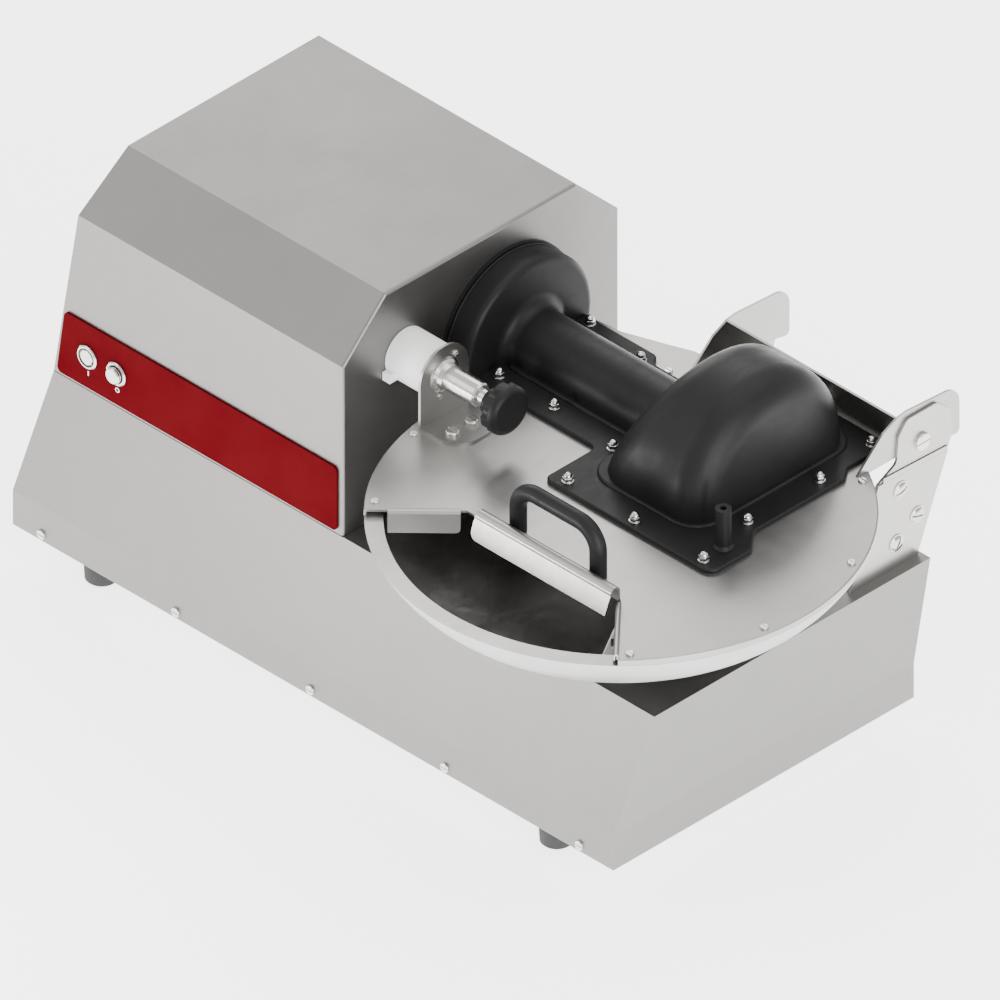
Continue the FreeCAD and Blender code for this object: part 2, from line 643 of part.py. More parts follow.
def cover_volume(wall):
    """The drum, tube and leaning dome around the knife shaft, drawn in by a wall's thickness."""
    axis = Vector(1, 0, 0)
    middle, height = number(d.knifeY), number(d.knifeZ)

    def cylinder(radius, left, right):
        return Part.makeCylinder(radius - wall, right - left, Vector(left, middle, height), axis)

    def end_edges(shape, x, low, high):
        return [edge for edge in shape.Edges if edge.BoundBox.XLength < 0.1
                and abs(edge.CenterOfMass.x - x) < 0.1 and low < edge.BoundBox.YLength < high]

    lean = number(d.domeLean)
    left = number(d.domeLeft) + wall * math.hypot(1, lean)
    right = number(d.domeRight) - wall
    corners = [Vector(left + lean * (rise - 358), middle - 200, rise) for rise in (200, 560)]
    corners += [Vector(0, middle - 200, 560), Vector(0, middle - 200, 200)]
    beyond = Part.Face(Part.makePolygon(corners + corners[:1])).extrude(Vector(0, 400, 0))
    seat = number(d.lidTop + d.gasket) - (3 if wall else 0)
    dome = cylinder(number(d.domeRadius), 90, right).cut(beyond)
    dome = dome.common(Part.makeBox(600, 500, 400, Vector(-100, middle - 250, seat)))
    arcs = [edge for edge in dome.Edges if edge.BoundBox.YLength > 100 and edge.BoundBox.ZLength > 80
            and (edge.BoundBox.XLength < 0.1 or edge.BoundBox.XLength > 50)]
    dome = dome.makeFillet(number(d.domeRound) - wall, arcs)

    drum_left, drum_right = number(d.coverLeft) - (1 if wall else 0), number(d.drumRight) - wall
    tubes = cylinder(number(d.drumRadius), drum_left, drum_right)
    tubes = tubes.fuse(cylinder(number(d.tubeRadius), drum_left, 260)).removeSplitter()
    tubes = tubes.makeFillet(8 - wall * 0.8, end_edges(tubes, drum_right, 120, 300))
    tubes = tubes.makeFillet(14 + wall, end_edges(tubes, drum_right, 20, 100))
    half = number(d.tubeRadius) - wall
    legs = Part.makeBox(240 - drum_right, 2 * half, 60, Vector(drum_right + 2, middle - half, height - 60))
    return dome.fuse([tubes, legs]).removeSplitter()


def soft_slab(corners, low, high, corner_rounds, top_round, top_chosen):
    """A flat slab with rounded plan corners and a rounded top edge."""
    points = [Vector(x, y, low) for x, y in corners]
    slab = Part.Face(Part.makePolygon(points + points[:1])).extrude(Vector(0, 0, high - low))
    for radius, chosen in corner_rounds:
        slab = slab.makeFillet(radius, [edge for edge in slab.Edges if edge.BoundBox.ZLength > high - low - 0.1
                                        and chosen(edge.CenterOfMass)])
    return slab.makeFillet(top_round, [edge for edge in slab.Edges if edge.BoundBox.ZLength < 0.01
                                       and edge.CenterOfMass.z > high - 0.1 and top_chosen(edge)])


def knife_cover():
    low, high = number(d.lidTop + d.gasket), number(flangeTop)
    plate = soft_slab(cover_outline(), low, high, [
        (15.0, lambda middle: middle.x > 358 and middle.y < 18),
        (9.0, lambda middle: middle.x > -20 and not (middle.x > 358 and middle.y < 18))], 2.0,
                      lambda edge: edge.BoundBox.XMax > -24.9)
    step_outline = [(-17, 41.5), (166, 41.5), (166, -32), (326, -32), (326, 202), (166, 202), (166, 128.5),
                    (-17, 128.5)]
    step = soft_slab(step_outline, low, high + 3.2, [
        (8.0, lambda middle: 30 < middle.y < 130),
        (34.0, lambda middle: not 30 < middle.y < 130 and middle.x > 100)], 2.6, lambda edge: True)
    above = Part.makeBox(600, 500, 200, Vector(-100, -150, low))
    walls = cover_volume(0.0).common(above)
    solid = plate.fuse(step).removeSplitter().fuse(walls).removeSplitter()
    shell = shaped("cover_shell", solid.cut(cover_volume(number(d.coverWall))))
    centre = (d.spoutX, d.spoutY)
    spout = turned("cover_spout", "z", [(flangeTop - 3, 0), (flangeTop - 3, 11), (flangeTop + 1.5, 11),
                                        (flangeTop + 5, d.spoutRadius), (d.spoutTop, d.spoutRadius),
                                        (d.spoutTop, 0)], centre)
    bore = rod("spout_bore", "z", d.spoutBore, (300, 420), centre)
    piece("knife_cover", cut("knife_cover", fuse("cover_solid", shell, spout), bore))

    sheet = prism("gasket_sheet", "z", cover_outline(), (d.lidTop, d.lidTop + d.gasket), rounding=9.0,
                  rounded=lambda middle: middle.x > -20)
    ways = cover_openings(d.lidTop - 5, d.lidTop + d.gasket + 5)
    spout_way = rod("gasket_bore", "z", 5, (300, 420), centre)
    piece("cover_gasket", cut("cover_gasket", sheet, *ways, spout_way))


def cover_nuts():
    spots = [(-10.5, 26), (-10.5, 154), (66.5, 27), (70.5, 149 - 4), (146.5 + 12, 22 - 4), (166.5, -54), (262.5, -55),
             (359.5, -54.5), (343.5, 23), (343.5, 125), (336.5, 206), (166, 209.6), (250, 209.6)]
    nuts = []
    for index, (x, y) in enumerate(spots):
        base = flangeTop
        washer = rod(f"nut_washer_{index}", "z", 6.4, (base, base + 1.2), (x, y))
        hexagon = [(x + 5.77 * math.cos(math.radians(60 * k)), y + 5.77 * math.sin(math.radians(60 * k)))
                   for k in range(6)]
        body = prism(f"nut_hexagon_{index}", "z", hexagon, (base + 1.2, base + 6.0))
        cap = rod(f"nut_cap_{index}", "z", 4.7, (base + 6.0, base + 10.6), (x, y))
        dome = softened(f"nut_dome_{index}", cap, 4.4,
                        lambda edge: edge_beyond(edge, "z", number(flangeTop) + 6.0, 1.0))
        nuts.append(fuse(f"nut_{index}", washer, body, dome))
    piece("cover_nuts", fuse("cover_nuts", *nuts))


def lid_screws():
    spots = []
    for angle in (-43, -9.6, 23.8, 57.3, 124, 192.3, 221):
        turn = math.radians(angle)
        reach = number(d.lidScrewReach)
        spots.append((number(d.bowlX) + reach * math.cos(turn), number(d.bowlY) + reach * math.sin(turn)))
    rim = slotted_heads("rim_screws", "z", 4.6, [(d.lidTop, 1)] * len(spots), spots, 2.4)
    bracket_top = d.lidTop + d.bracketSheet
    foot = slotted_heads("foot_screws", "z", 7.5, [(bracket_top, 1)] * 2, [(23.5, -74), (23.5, -47)], 4.0)
    sleeve_spots = [(d.lockY + 15, d.lockZ + 18.5), (d.lockY - 7, d.lockZ - 23)]
    sleeve = slotted_heads("sleeve_screws", "x", 3.2, [(d.bracketFace + d.bracketSheet, 1)] * 2, sleeve_spots, 2.0)
    piece("lid_screws", fuse("lid_screws", rim, foot, sleeve))


def lid_handle():
    """A round-bar handle: two legs with flared feet, wide bends and a straight grip."""
    left, right, y = number(d.handleLeft), number(d.handleRight), number(d.handleY)
    low, high, bend = number(d.lidTop), number(d.handleRise), number(d.handleBend)
    slant = bend * (1 - math.sqrt(0.5))
    legs = [Part.LineSegment(Vector(left, y, low), Vector(left, y, high - bend)),
            Part.Arc(Vector(left, y, high - bend), Vector(left + slant, y, high - slant), Vector(left + bend, y, high)),
            Part.LineSegment(Vector(left + bend, y, high), Vector(right - bend, y, high)),
            Part.Arc(Vector(right - bend, y, high), Vector(right - slant, y, high - slant),
                     Vector(right, y, high - bend)),
            Part.LineSegment(Vector(right, y, high - bend), Vector(right, y, low))]
    path = Part.Wire([curve.toShape() for curve in legs])
    section = Part.Wire([Part.makeCircle(number(d.handleRod), Vector(left, y, low), Vector(0, 0, 1))])
    piece("lid_handle", shaped("lid_handle", path.makePipeShell([section], True, False)))


def plough():
    """A white scraper plate that hangs under the lid beside the feed opening and turns the food over."""
    low = lidUnder - 60
    outline = [(-46, low), (46, low), (46, lidUnder), (-24, lidUnder)]
    plate = prism("plough_plate", "y", outline, (-2.5, 2.5), rounding=4.0, rounded=lambda middle: middle.z < 300)
    slots = [box(f"plough_slot_{index}", (-31, -25), (-5, 5), (rise, rise + 13))
             for index, rise in enumerate((298, 318))]
    slotted = cut("plough", plate, *slots)
    put(slotted, 383, -166, 0, FreeCAD.Rotation(Vector(0, 0, 1), 45))
    piece("plough", slotted)


# ---------------------------------------------------------------- lock

def lock():
    centre = (d.lockY, d.lockZ)
    front, rear = d.lockY - d.bracketHalf, d.lockY + d.bracketHalf
    face, back = d.bracketFace, d.bracketFace + d.bracketSheet
    bore = d.lockPin + d.runningGap
    block = rod("block_blank", "x", d.lockBlock, (d.lockStart, face), centre)
    lug = box("block_lug", (d.lockStart, -50), (d.lockY - 32, d.lockY - 18), (d.lockZ - 19, d.lockZ - 9))
    pin_way = rod("block_bore", "x", bore, (-70, 0), centre)
    piece("lock_block", cut("lock_block", fuse("block_whole", block, lug), pin_way))

    upright = box("bracket_upright", (face, back), (front, rear), (d.lidTop, d.lockZ))
    arch = rod("bracket_arch", "x", d.bracketHalf, (face, back), centre)
    foot = prism("bracket_foot", "z", [(face, front), (48.5, front), (48.5, rear), (face, rear)],
                 (d.lidTop, d.lidTop + d.bracketSheet), rounding=27.0, rounded=lambda middle: middle.x > 20)
    way = rod("bracket_bore", "x", bore, (-20, 10), centre)
    piece("lock_bracket", cut("lock_bracket", fuse("bracket_whole", upright, arch, foot), way))

    spring_room = 11.0
    sleeve = [(back, bore), (back, 20), (back + 1.2, 17.5), (back + 4, 15), (back + 9, 13.5), (46, 13), (48, 11.5),
              (48, bore), (42, bore), (42, spring_room), (6, spring_room), (6, bore)]
    piece("lock_sleeve", turned("lock_sleeve", "x", sleeve, centre))
    coil = [(7, 9.0), (7, 10.6), (41, 10.6), (41, 9.0)]
    piece("lock_spring", turned("lock_spring", "x", coil, centre))

    pin = [(d.lockStart, 0), (d.lockStart, d.lockPin - 1.5), (d.lockStart + 1.5, d.lockPin), (60, d.lockPin),
           (60, 0)]
    piece("plunger_pin", turned("plunger_pin", "x", pin, centre))
    star_knob(centre)


def star_knob(centre):
    """A round hand knob on the end of the plunger, with shallow finger scallops behind its rim."""
    scallops = 7
    hub = rod("knob_hub", "x", 14, (60, d.knobStart + 3), centre)
    head = rod("knob_head", "x", d.knobRadius, (d.knobStart, d.knobEnd), centre)
    domed = softened("knob_domed", head, 7.5, lambda edge: edge_beyond(edge, "x", number(d.knobStart), 5))
    hollows = []
    for index in range(scallops):
        turn = math.radians(360 / scallops * index + 12)
        at = (d.lockY + 33 * math.cos(turn), d.lockZ + 33 * math.sin(turn))
        hollows.append(rod(f"knob_hollow_{index}", "x", 9.0, (d.knobStart - 2, d.knobStart + 9), at))
    piece("star_knob", fuse("star_knob", hub, cut("knob_star", domed, *hollows)))


# ---------------------------------------------------------------- hinge

def support_outline():
    return [(145, d.deckTop), (241, d.deckTop), (275, 305), (291, 343), (289, 374), (270, 391), (228, 391),
            (216, 376), (213, 345), (186, 331)]


def support_lower():
    return [(145, d.deckTop), (241, d.deckTop), (275, 305), (284, 327), (186, 331)]


def hinge_supports():
    for side, inner, sign in (("right", d.earRight + d.supportGap, 1), ("left", d.earLeft - d.supportGap, -1)):
        def span(near, far):
            """Limits along X for two distances measured outwards from the plate's inner face."""
            ends = sorted((inner + near * sign, inner + far * sign), key=number)
            return ends[0], ends[1]

        name = f"hinge_support_{side}"
        plate = prism(f"{name}_plate", "x", support_outline(), span(0.0, number(d.supportPlate)), rounding=8.0,
                      rounded=lambda middle: middle.z > 335)
        lower = prism(f"{name}_lower", "x", support_lower(), span(0.0, number(d.supportPlate) + 1.5))
        foot = box(f"{name}_foot", span(-22.0, 1.0), (160, 236), (d.deckTop, d.deckTop + 3))
        hole = rod(f"{name}_hole", "x", d.hingePin, (100, 380), (d.hingeY, d.hingeZ))
        piece(name, cut(name, fuse(f"{name}_whole", plate, lower, foot), hole))


def hinge_fasteners():
    right_face = d.earRight + d.supportGap + d.supportPlate
    left_face = d.earLeft - d.supportGap - d.supportPlate
    centre = (d.hingeY, d.hingeZ)
    right = rod("pin_right", "x", d.hingePin, (earInnerRight - 6, right_face), centre)
    left = rod("pin_left", "x", d.hingePin, (left_face, earInnerLeft + 6), centre)
    heads = slotted_heads("pin_heads", "x", d.panHead, [(right_face, 1), (left_face, -1)], [centre] * 2, 4.0)
    piece("hinge_pins", fuse("hinge_pins", right, left, heads))
    spots = [(217, 312), (240, 270), (211, 250)]
    faces = [(right_face + 1.5, 1)] * 3 + [(left_face - 1.5, -1)] * 3
    piece("hinge_screws", slotted_heads("hinge_screws", "x", d.panHead, faces, spots * 2, 4.0))
    inner_right = d.earRight + d.supportGap
    inner_left = d.earLeft - d.supportGap
    posts = [box("post_right", (inner_right - 22, inner_right), (200, 238), (d.deckTop + 3, 290)),
             box("post_left", (inner_left, inner_left + 22), (200, 238), (d.deckTop + 3, 290))]
    piece("hinge_posts", fuse("hinge_posts", *posts))


# ---------------------------------------------------------------- knife shaft

def knife_shaft_parts():
    centre = (d.knifeY, d.knifeZ)
    clear = d.shaftRadius + d.runningGap
    shaft = [(-392, 0), (-392, d.shaftRadius), (-36, d.shaftRadius), (-36, d.sleeveRadius), (205, d.sleeveRadius),
             (205, 30), (212, 30), (212, d.sleeveRadius), (262, d.sleeveRadius), (262, 10), (284, 10), (284, 0)]
    piece("knife_shaft", turned("knife_shaft", "x", shaft, centre))
    hexagon = [(number(d.knifeY) + 24 * math.cos(math.radians(60 * k)),
                number(d.knifeZ) + 24 * math.sin(math.radians(60 * k))) for k in range(6)]
    nut = prism("knife_nut_blank", "x", hexagon, (262, 276))
    piece("knife_nut", cut("knife_nut", nut, rod("knife_nut_bore", "x", 10, (255, 290), centre)))
    for index, name in enumerate(("knife_inner", "knife_middle", "knife_outer")):
        knife(name, d.knifeX + d.knifePitch * (index - 1), 120.0 * index - 100)

    ring_part = ring("shaft_ring", "x", 92, 62, (d.wallFace, d.wallFace + 4), centre)
    piece("shaft_ring", ring_part)
    boss = [(d.wallFace - 12, 31), (d.wallFace - 12, 33.9), (d.wallFace, 33.9), (d.wallFace, 60), (-52, 60), (-50, 58),
            (-46, 40), (-40, 38), (-40, 22), (-44, 22), (-44, 31)]
    piece("shaft_boss", turned("shaft_boss", "x", boss, centre))
    front = [(-72, clear), (-72, 31), (-46, 31), (-46, clear)]
    rear = [(-318, clear), (-318, 31), (-302, 31), (-302, clear)]
    piece("knife_bearings", fuse("knife_bearings", turned("front_bearing", "x", front, centre),
                                 turned("rear_bearing", "x", rear, centre)))
    stand = prism("bearing_stand", "x", [(48, d.deckTop), (122, d.deckTop), (122, d.knifeZ + 38), (48, d.knifeZ + 38)],
                  (-322, -298))
    stand_foot = box("bearing_stand_foot", (-345, -275), (44, 126), (d.deckTop, d.deckTop + 8))
    seat = rod("bearing_stand_bore", "x", 31, (-330, -290), centre)
    piece("rear_bearing_block", cut("rear_bearing_block", fuse("stand_whole", stand, stand_foot), seat))


def knife(name, x, angle):
    """One sickle blade: a crescent whose tip reaches the knife circle, on a ring around the shaft."""
    half = number(d.knifeSheet) / 2
    along = Vector(1, 0, 0)
    thick = number(d.knifeSheet)
    reach = number(d.knifeRadius)
    outside = Part.makeCylinder(reach - 31, thick, Vector(-half, 31, 0), along)
    hollow = Part.makeCylinder(reach - 44, thick + 2, Vector(-half - 1, 47, -22), along)
    eye = Part.makeCylinder(31, thick, Vector(-half, 0, 0), along)
    bore = Part.makeCylinder(number(d.sleeveRadius), thick + 2, Vector(-half - 1, 0, 0), along)
    blade = outside.cut(hollow).fuse(eye).cut(bore).removeSplitter()
    feature = doc.addObject("Part::Feature", name)
    feature.Shape = blade
    put(feature, x, d.knifeY, d.knifeZ, FreeCAD.Rotation(Vector(1, 0, 0), angle))
    piece(name, feature)


# ---------------------------------------------------------------- drive

def v_pulley(name, radius, bore, left, grooves, centre):
    """A belt pulley with one or more V grooves."""
    profile = [(left, bore), (left, radius)]
    for index in range(grooves):
        middle = left + d.pulleyWidth * (index + 0.5)
        profile += [(middle - 8, radius), (middle - 5, radius - d.beltDepth - 3), (middle + 5, radius - d.beltDepth - 3),
                    (middle + 8, radius)]
    right = left + d.pulleyWidth * grooves
    profile += [(right, radius), (right, bore)]
    return piece(name, turned(name, "x", profile, centre))


def belt_face(first, first_radius, second, second_radius):
    """The area inside a belt's loop around two pulleys, in the (y, z) plane."""
    gap = second - first
    heading = math.atan2(gap.z, gap.y)
    spread = math.acos((first_radius - second_radius) / gap.Length)

    def on(centre, radius, angle):
        return centre + Vector(0, radius * math.cos(angle), radius * math.sin(angle))

    upper, lower = heading + spread, heading - spread
    curves = [Part.LineSegment(on(first, first_radius, lower), on(second, second_radius, lower)),
              Part.Arc(on(second, second_radius, lower), on(second, second_radius, heading),
                       on(second, second_radius, upper)),
              Part.LineSegment(on(second, second_radius, upper), on(first, first_radius, upper)),
              Part.Arc(on(first, first_radius, upper), on(first, first_radius, heading + math.pi),
                       on(first, first_radius, lower))]
    return Part.Face(Part.Wire([curve.toShape() for curve in curves]))


def belt(name, left, first, first_radius, second, second_radius):
    width, thick, play = 9.0, number(d.beltDepth), 0.3
    sink = number(d.beltDepth) + 3 - play
    ends = [Vector(left, number(y), number(z)) for y, z in (first, second)]
    radii = [number(radius) - sink for radius in (first_radius, second_radius)]
    outer = belt_face(ends[0], radii[0] + thick, ends[1], radii[1] + thick)
    inner = belt_face(ends[0], radii[0], ends[1], radii[1])
    piece(name, shaped(name, outer.cut(inner).extrude(Vector(width, 0, 0))))


def drive():
    motor, knives, worm = (d.motorY, d.motorZ), (d.knifeY, d.knifeZ), (d.wormY, d.wormZ)
    left = d.pulleyLeft
    second_groove = left + d.pulleyWidth
    v_pulley("motor_pulley", d.motorPulley, d.motorShaft, left, 2, motor)
    v_pulley("knife_pulley", d.knifePulley, d.shaftRadius, left, 1, knives)
    v_pulley("worm_pulley", d.wormPulley, d.wormShaft, second_groove, 1, worm)
    middle = number(d.pulleyWidth) / 2 - 4.5
    belt("knife_belt", number(left) + middle, motor, d.motorPulley, knives, d.knifePulley)
    belt("worm_belt", number(second_groove) + middle, motor, d.motorPulley, worm, d.wormPulley)

    bore = d.motorShaft + d.runningGap
    body = [(d.motorLeft, bore), (d.motorLeft, 60), (d.motorLeft + 10, d.motorRadius - 2),
            (d.motorLeft + 25, d.motorRadius), (d.motorRight - 35, d.motorRadius), (d.motorRight - 34, d.motorRadius - 3),
            (d.motorRight - 6, d.motorRadius - 3), (d.motorRight, 58), (d.motorRight, bore)]
    piece("motor_body", turned("motor_body", "x", body, motor))
    saddle = box("motor_saddle", (-270, -150), (d.motorY - 60, d.motorY + 60), (d.deckTop, d.motorZ - 40))
    cradle = rod("motor_cradle", "x", d.motorRadius, (-290, -130), motor)
    piece("motor_mount", cut("motor_mount", saddle, cradle))
    shaft = [(left, 0), (left, d.motorShaft), (d.motorRight - 2, d.motorShaft), (d.motorRight - 2, 0)]
    piece("motor_shaft", turned("motor_shaft", "x", shaft, motor))
    worm_parts(worm)


def worm_parts(centre):
    threads, pitch, root = 8, 7.0, 4.0
    start = d.bowlX - threads * pitch / 2
    profile = [(-372, 0), (-372, d.wormShaft), (start, d.wormShaft)]
    for index in range(threads):
        low = start + index * pitch
        profile += [(low + 0.5, d.wormRadius - root), (low + 2, d.wormRadius), (low + 5, d.wormRadius),
                    (low + 6.5, d.wormRadius - root)]
    end = start + threads * pitch
    profile += [(end, d.wormShaft), (318, d.wormShaft), (318, 0)]
    piece("worm_shaft", turned("worm_shaft", "x", profile, centre))

    clear = d.wormShaft + d.runningGap
    blocks = []
    for index, x in enumerate((-330, 318 - 14)):
        block = box(f"worm_block_{index}", (x, x + 14), (d.wormY - 24, d.wormY + 24),
                    (d.skirtBottom + d.sheetMetal, d.wormZ + 26))
        blocks.append(block)
    bore = rod("worm_block_bore", "x", clear, (-340, 330), centre)
    piece("worm_bearing_blocks", cut("worm_bearing_blocks", fuse("worm_blocks", *blocks), bore))

    ceiling = d.deckTop - d.sheetMetal
    case = box("case_blank", (d.bowlX - 66, d.bowlX + 64), (d.bowlY - 66, d.wormY + 32), (102, ceiling))
    room = box("case_room", (d.bowlX - 60, d.bowlX + 58), (d.bowlY - 60, d.wormY + 26), (110, ceiling - 6))
    worm_way = rod("case_worm_way", "x", clear, (100, 330), centre)
    spindle_way = rod("case_spindle_way", "z", 28, (90, 230), (d.bowlX, d.bowlY))
    piece("gearbox_case", cut("gearbox_case", case, room, worm_way, spindle_way))


# ---------------------------------------------------------------- the whole machine

def build():
    base_shell()
    bottom_plate()
    rubber_feet()
    skirt_screws()
    housing()
    control_panel()
    panel_fittings()
    bowl()
    bowl_drive()
    worm_wheel()
    lid_sheet()
    knife_cover()
    cover_nuts()
    lid_screws()
    lid_handle()
    plough()
    lock()
    hinge_supports()
    hinge_fasteners()
    knife_shaft_parts()
    drive()
    doc.recompute()


def check():
    """Stop before anything is written if an object failed or a sub-part's shape is bad."""
    failed = [thing.Label for thing in doc.Objects if {"Invalid", "Error"} & set(thing.State)]
    if failed:
        raise RuntimeError("these objects failed: " + ", ".join(failed))
    for thing in sub_parts:
        if thing.Shape.isNull() or not thing.Shape.isValid() or not thing.Shape.Solids:
            raise RuntimeError("this sub-part has no sound solid: " + thing.Label)


def write():
    os.makedirs("parts", exist_ok=True)
    for thing in sub_parts:
        thing.Shape.exportStep(os.path.join("parts", thing.Label + ".step"))
    print(len(sub_parts), "sub-parts written")


build()
check()
write()
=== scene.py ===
import bpy, math
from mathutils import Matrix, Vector


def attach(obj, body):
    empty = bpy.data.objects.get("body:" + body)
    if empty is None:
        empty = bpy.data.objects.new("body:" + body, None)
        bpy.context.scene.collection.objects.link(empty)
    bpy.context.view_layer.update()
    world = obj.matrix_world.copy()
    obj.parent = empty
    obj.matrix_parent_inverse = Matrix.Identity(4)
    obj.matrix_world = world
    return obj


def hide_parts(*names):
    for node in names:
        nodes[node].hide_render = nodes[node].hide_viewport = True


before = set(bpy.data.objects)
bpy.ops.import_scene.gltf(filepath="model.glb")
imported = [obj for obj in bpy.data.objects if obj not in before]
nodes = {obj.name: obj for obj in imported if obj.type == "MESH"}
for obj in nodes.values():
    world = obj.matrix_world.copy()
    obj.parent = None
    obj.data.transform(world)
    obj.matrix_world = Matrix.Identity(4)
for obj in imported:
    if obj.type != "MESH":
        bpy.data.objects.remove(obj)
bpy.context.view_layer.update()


print("stage: frame loaded")

# camera: a parallel view from the front right, as steep as an isometric drawing
cameraSetup = {"target": (0.0083, 0.0083, 0.2246), "azimuth": 45.0, "elevation": 35.264, "reach": 4.0,
               "width": 1.0, "farClip": 20}


def addCamera(setup):
    turn, lift = math.radians(setup["azimuth"]), math.radians(setup["elevation"])
    away = Vector((math.sin(turn) * math.cos(lift), -math.cos(turn) * math.cos(lift), math.sin(lift)))
    bpy.ops.object.camera_add(location=Vector(setup["target"]) + away * setup["reach"],
                              rotation=away.to_track_quat("Z", "Y").to_euler())
    camera = bpy.context.object
    camera.name = "viewCamera"
    camera.data.type = "ORTHO"
    camera.data.ortho_scale = setup["width"]
    camera.data.clip_end = setup["farClip"]
    bpy.context.scene.camera = camera


# soft studio: a white room with a glowing floor, four broad lights around the machine, and a small card
# low in front that lights the lip of the feed opening
studio = {"roomColour": (1.0, 0.99, 0.98), "roomStrength": 1.2,
          "lights": [("overhead", (0.3, 0.5, 2.4), (0, 0, 0.2), 2.4, 24.0, (1, 0.99, 0.97)),
                     ("rightSide", (3.0, -0.9, 1.1), (0.1, 0, 0.25), 2.4, 95.0, (1, 0.985, 0.96)),
                     ("rearLeft", (-2.2, 1.6, 1.9), (0, 0, 0.3), 2.0, 34.0, (1.0, 0.98, 0.95)),
                     ("frontLeft", (-1.9, -1.9, 2.3), (0, 0, 0.3), 2.0, 17.0, (1.0, 0.98, 0.95)),
                     ("lipCard", (-0.44, -1.15, 0.33), (0.25, -0.17, 0.355), 0.35, 8.0, (1.0, 0.98, 0.95))],
          "floorColour": (0.95, 0.95, 0.96), "floorGlow": 2.8, "floorSize": 9}


def addStudio(setup):
    world = bpy.data.worlds.new("whiteRoom")
    bpy.context.scene.world = world
    world.use_nodes = True
    background = world.node_tree.nodes["Background"]
    background.inputs["Color"].default_value = (*setup["roomColour"], 1)
    background.inputs["Strength"].default_value = setup["roomStrength"]
    for name, place, aim, size, power, colour in setup["lights"]:
        bpy.ops.object.light_add(type="AREA", location=place,
                                 rotation=(Vector(place) - Vector(aim)).to_track_quat("Z", "Y").to_euler())
        light = bpy.context.object
        light.name = name
        light.data.shape = "DISK"
        light.data.size = size
        light.data.energy = power
        light.data.color = colour
    bpy.ops.mesh.primitive_plane_add(size=setup["floorSize"], location=(0, 0, 0))
    floor = bpy.context.object
    floor.name = "paleFloor"
    floor.data.materials.append(floorPaint(setup["floorColour"], setup["floorGlow"]))


# shared effects
def newGroup(name, inputs, outputs):
    group = bpy.data.node_groups.new(name, "ShaderNodeTree")
    for label, kind, value in inputs:
        socket = group.interface.new_socket(label, in_out="INPUT", socket_type=kind)
        if value is not None:
            socket.default_value = value
    for label, kind in outputs:
        group.interface.new_socket(label, in_out="OUTPUT", socket_type=kind)
    start = group.nodes.new("NodeGroupInput")
    end = group.nodes.new("NodeGroupOutput")
    return group, start, end


def addNode(tree, kind, settings=None, **inputs):
    node = tree.nodes.new(kind)
    for key, value in (settings or {}).items():
        setattr(node, key, value)
    for label, value in inputs.items():
        numbered = label[0] == "i" and label[1:].isdigit()
        socket = node.inputs[int(label[1:]) if numbered else label]
        if isinstance(value, bpy.types.NodeSocket):
            tree.links.new(value, socket)
        else:
            socket.default_value = value
    return node


def addMath(tree, operation, first, second=0.0, third=0.0):
    return addNode(tree, "ShaderNodeMath", {"operation": operation}, i0=first, i1=second, i2=third).outputs[0]


def addScaled(tree, vector, scale):
    node = addNode(tree, "ShaderNodeVectorMath", {"operation": "MULTIPLY"}, i0=vector)
    if isinstance(scale, bpy.types.NodeSocket):
        tree.links.new(scale, node.inputs[1])
    else:
        node.inputs[1].default_value = scale
    return node.outputs[0]


def addMix(tree, factor, first, second):
    mix = tree.nodes.new("ShaderNodeMix")
    mix.data_type = "RGBA"
    for index, value in ((0, factor), (6, first), (7, second)):
        if isinstance(value, bpy.types.NodeSocket):
            tree.links.new(value, mix.inputs[index])
        else:
            mix.inputs[index].default_value = value
    return mix.outputs[2]


def makeBrushedGrain():
    # short fine lines that run along X of the vector that goes in
    group, start, end = newGroup("brushedGrain", [("Vector", "NodeSocketVector", None),
                                                  ("Fineness", "NodeSocketFloat", 900.0),
                                                  ("Stretch", "NodeSocketFloat", 40.0)],
                                 [("Tone", "NodeSocketFloat"), ("Height", "NodeSocketFloat")])
    along = addMath(group, "DIVIDE", start.outputs["Fineness"], start.outputs["Stretch"])
    scale = addNode(group, "ShaderNodeCombineXYZ", X=along, Y=start.outputs["Fineness"],
                    Z=start.outputs["Fineness"]).outputs[0]
    vector = addScaled(group, start.outputs["Vector"], scale)
    fine = addNode(group, "ShaderNodeTexNoise", Vector=vector, Scale=1.0, Detail=3.0, Roughness=0.6)
    coarser = addScaled(group, vector, (0.12, 0.06, 0.06))
    broad = addNode(group, "ShaderNodeTexNoise", Vector=coarser, Scale=1.0, Detail=2.0)
    tone = addMath(group, "MULTIPLY_ADD", broad.outputs["Fac"], 0.45,
                   addMath(group, "MULTIPLY", fine.outputs["Fac"], 0.55))
    group.links.new(tone, end.inputs["Tone"])
    group.links.new(fine.outputs["Fac"], end.inputs["Height"])
    return group


def makeHandling():
    # cloudy wiped patches with a few faint smears
    group, start, end = newGroup("handlingMarks", [("Vector", "NodeSocketVector", None),
                                                   ("Size", "NodeSocketFloat", 9.0)],
                                 [("Mask", "NodeSocketFloat")])
    warp = addNode(group, "ShaderNodeTexNoise", Vector=start.outputs["Vector"], Scale=start.outputs["Size"],
                   Detail=4.0, Roughness=0.55, Distortion=0.8)
    drawnOut = addScaled(group, start.outputs["Vector"], (3.0, 1.0, 1.4))
    smear = addNode(group, "ShaderNodeTexNoise", Vector=drawnOut,
                    Scale=addMath(group, "MULTIPLY", start.outputs["Size"], 2.2), Detail=5.0, Distortion=1.6)
    both = addMath(group, "MULTIPLY", warp.outputs["Fac"], smear.outputs["Fac"])
    ramp = addNode(group, "ShaderNodeMapRange", i0=both, i1=0.16, i2=0.42)
    group.links.new(ramp.outputs[0], end.inputs["Mask"])
    return group


